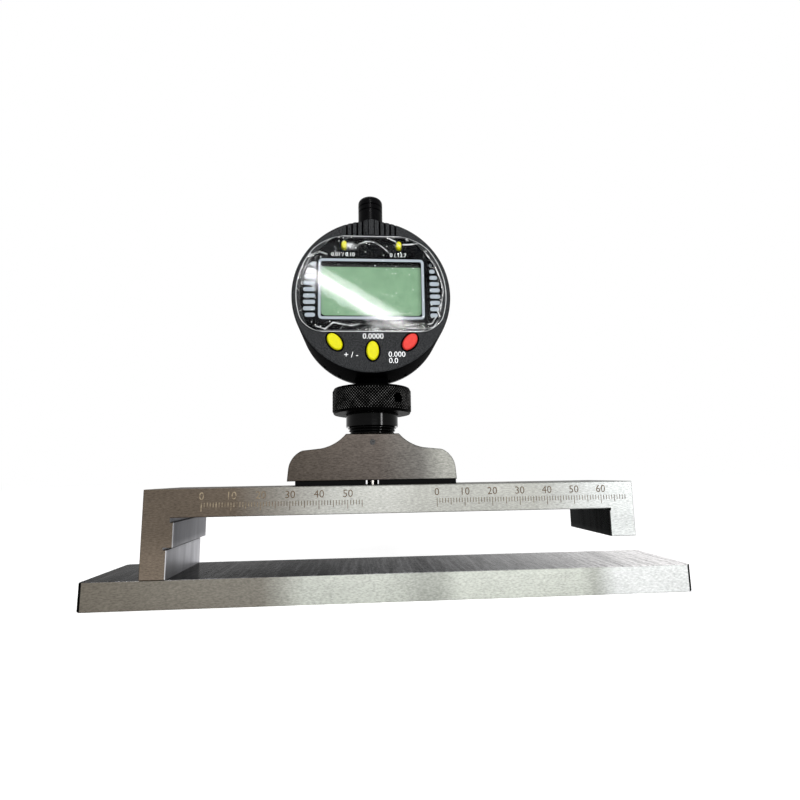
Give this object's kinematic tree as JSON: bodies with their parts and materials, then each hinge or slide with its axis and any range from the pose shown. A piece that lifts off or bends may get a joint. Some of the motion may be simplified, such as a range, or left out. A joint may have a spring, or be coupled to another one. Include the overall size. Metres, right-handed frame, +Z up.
{
  "type": "disc wear bridge gauge",
  "caption": "Slotted steel bridge ruler with a digital depth indicator clamped in a bell-shaped base, standing on a flat setting plate.",
  "frame": {"origin": "middle of the setting plate's underside", "axes": "+X along the ruler towards its short leg, -Y towards the face of the indicator, +Z up"},
  "size_m": [0.212, 0.0361, 0.158],
  "materials": {
    "plate_steel": "ground",
    "ruler_steel": "ground",
    "base_steel": "brushed",
    "bright_steel": "polished",
    "black_steel": "blackened",
    "bronze": "satin",
    "black_pad": "matte",
    "grey_rubber": "matte",
    "case_plastic": "textured",
    "black_plastic": "satin",
    "black_panel": "gloss",
    "display_glass": "satin",
    "board_green": "satin",
    "yellow_key": "satin",
    "red_key": "satin",
    "clear_lens": "clear",
    "clear_film": "crinkled"
  },
  "bodies": {
    "plate": {"setting_plate": "plate_steel"},
    "ruler": {"bridge_ruler": "ruler_steel"},
    "base": {"depth_base": "base_steel", "sole_pads": "black_pad", "bush_lock_screw": "black_steel", "clamp_bush": "black_steel"},
    "clamp_nut": {"clamp_ring": "black_steel"},
    "indicator": {"case_body": "case_plastic", "display_lens": "clear_lens", "display_panel": "black_panel", "lcd_module": "display_glass", "lcd_connector": "grey_rubber", "circuit_board": "board_green", "keypad_mat": "grey_rubber", "stem": "bright_steel", "lower_bush": "bronze", "upper_bush": "black_plastic", "guide_rail": "bronze", "sensor_board": "board_green", "return_spring": "bright_steel", "rear_cover": "case_plastic", "rear_cover_screws": "black_steel", "battery_cell": "bright_steel", "battery_contact": "bronze", "protective_film": "clear_film"},
    "spindle_group": {"spindle": "bright_steel", "contact_point": "bright_steel", "lift_cap": "black_plastic", "guide_pin": "bright_steel", "scale_strip": "display_glass"},
    "hatch": {"battery_hatch": "black_plastic"},
    "button_unit_key": {"button_unit": "yellow_key"},
    "button_preset_key": {"button_preset": "yellow_key"},
    "button_zero_key": {"button_zero": "red_key"},
    "button_tolerance_key": {"button_tolerance": "yellow_key"},
    "button_max_min_key": {"button_max_min": "yellow_key"}
  },
  "joints": [
    {"name": "ruler_lift", "type": "slide", "parent": "plate", "child": "ruler", "axis": [0, 0, 1], "range_m": [0, 0.06]},
    {"name": "gauge_slide", "type": "slide", "parent": "ruler", "child": "base", "axis": [1, 0, 0], "range_m": [-0.034, 0.05]},
    {"name": "nut_turn", "type": "hinge", "parent": "base", "child": "clamp_nut", "pos_m": [-0.008, 0, 0.072], "axis": [0, 0, 1], "range_deg": [-60, 60]},
    {"name": "indicator_swivel", "type": "hinge", "parent": "base", "child": "indicator", "pos_m": [-0.008, 0, 0.07], "axis": [0, 0, 1], "range_deg": [-180, 180]},
    {"name": "spindle_lift", "type": "slide", "parent": "indicator", "child": "spindle_group", "axis": [0, 0, 1], "range_m": [0, 0.0127], "stiffness_N_per_m": 40, "springref_m": -0.02, "deforming": ["return_spring"]},
    {"name": "hatch_turn", "type": "hinge", "parent": "indicator", "child": "hatch", "pos_m": [-0.008, 0.0115, 0.1224], "axis": [0, 1, 0], "range_deg": [0, 45]},
    {"name": "button_unit_press", "type": "slide", "parent": "indicator", "child": "button_unit_key", "axis": [0, 1, 0], "range_m": [0, 0.0006], "stiffness_N_per_m": 800, "springref_m": -0.0006},
    {"name": "button_preset_press", "type": "slide", "parent": "indicator", "child": "button_preset_key", "axis": [0, 1, 0], "range_m": [0, 0.0006], "stiffness_N_per_m": 800, "springref_m": -0.0006},
    {"name": "button_zero_press", "type": "slide", "parent": "indicator", "child": "button_zero_key", "axis": [0, 1, 0], "range_m": [0, 0.0006], "stiffness_N_per_m": 800, "springref_m": -0.0006},
    {"name": "button_tolerance_press", "type": "slide", "parent": "indicator", "child": "button_tolerance_key", "axis": [0, 1, 0], "range_m": [0, 0.0006], "stiffness_N_per_m": 800, "springref_m": -0.0006},
    {"name": "button_max_min_press", "type": "slide", "parent": "indicator", "child": "button_max_min_key", "axis": [0, 1, 0], "range_m": [0, 0.0006], "stiffness_N_per_m": 800, "springref_m": -0.0006}
  ]
}
